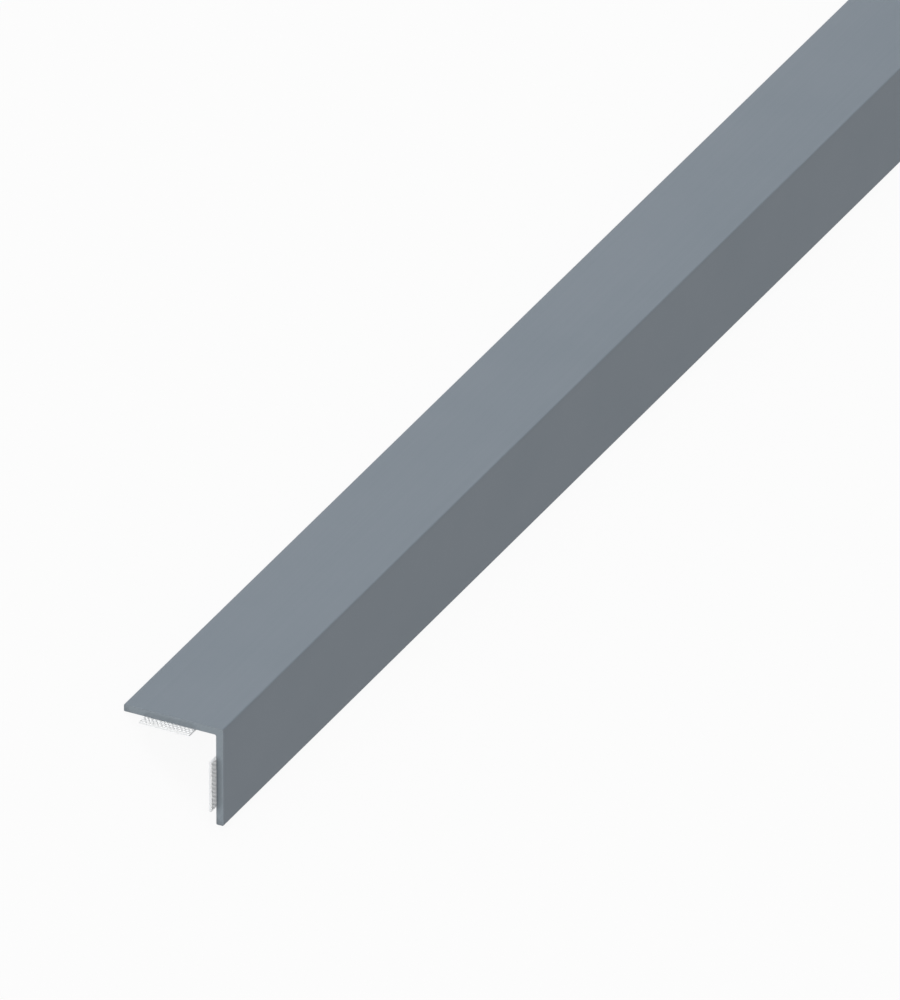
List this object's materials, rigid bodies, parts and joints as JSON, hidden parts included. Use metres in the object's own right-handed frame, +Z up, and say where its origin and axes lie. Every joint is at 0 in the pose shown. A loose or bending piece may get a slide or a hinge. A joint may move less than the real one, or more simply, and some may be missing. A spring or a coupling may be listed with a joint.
{
  "type": "self-adhesive pvc angle profile",
  "caption": "Extruded PVC equal angle, sold as straight stock, with a strip of double-sided tape under a release liner on the inner face of each leg.",
  "frame": {"origin": "on the floor under the ridge, at mid length: the middle of the underside of the bounding box", "axes": "+Y along the stock, from the pictured end at -Y to the far end; +X towards the leg that the picture shows upright; +Z up through the ridge, with both leg tips on the floor"},
  "size_m": [0.0352, 1.0054, 0.0187],
  "materials": {
    "pvc_grey": "satin mid-grey rigid PVC, as extruded",
    "adhesive_tape": "clear adhesive on both sides of a fine white scrim",
    "release_liner": "smooth white film with a slight sheen"
  },
  "bodies": {
    "root": {"angle_profile": "pvc_grey", "tape_left": "adhesive_tape", "tape_right": "adhesive_tape", "release_liner_left": "release_liner", "release_liner_right": "release_liner"}
  },
  "joints": []
}
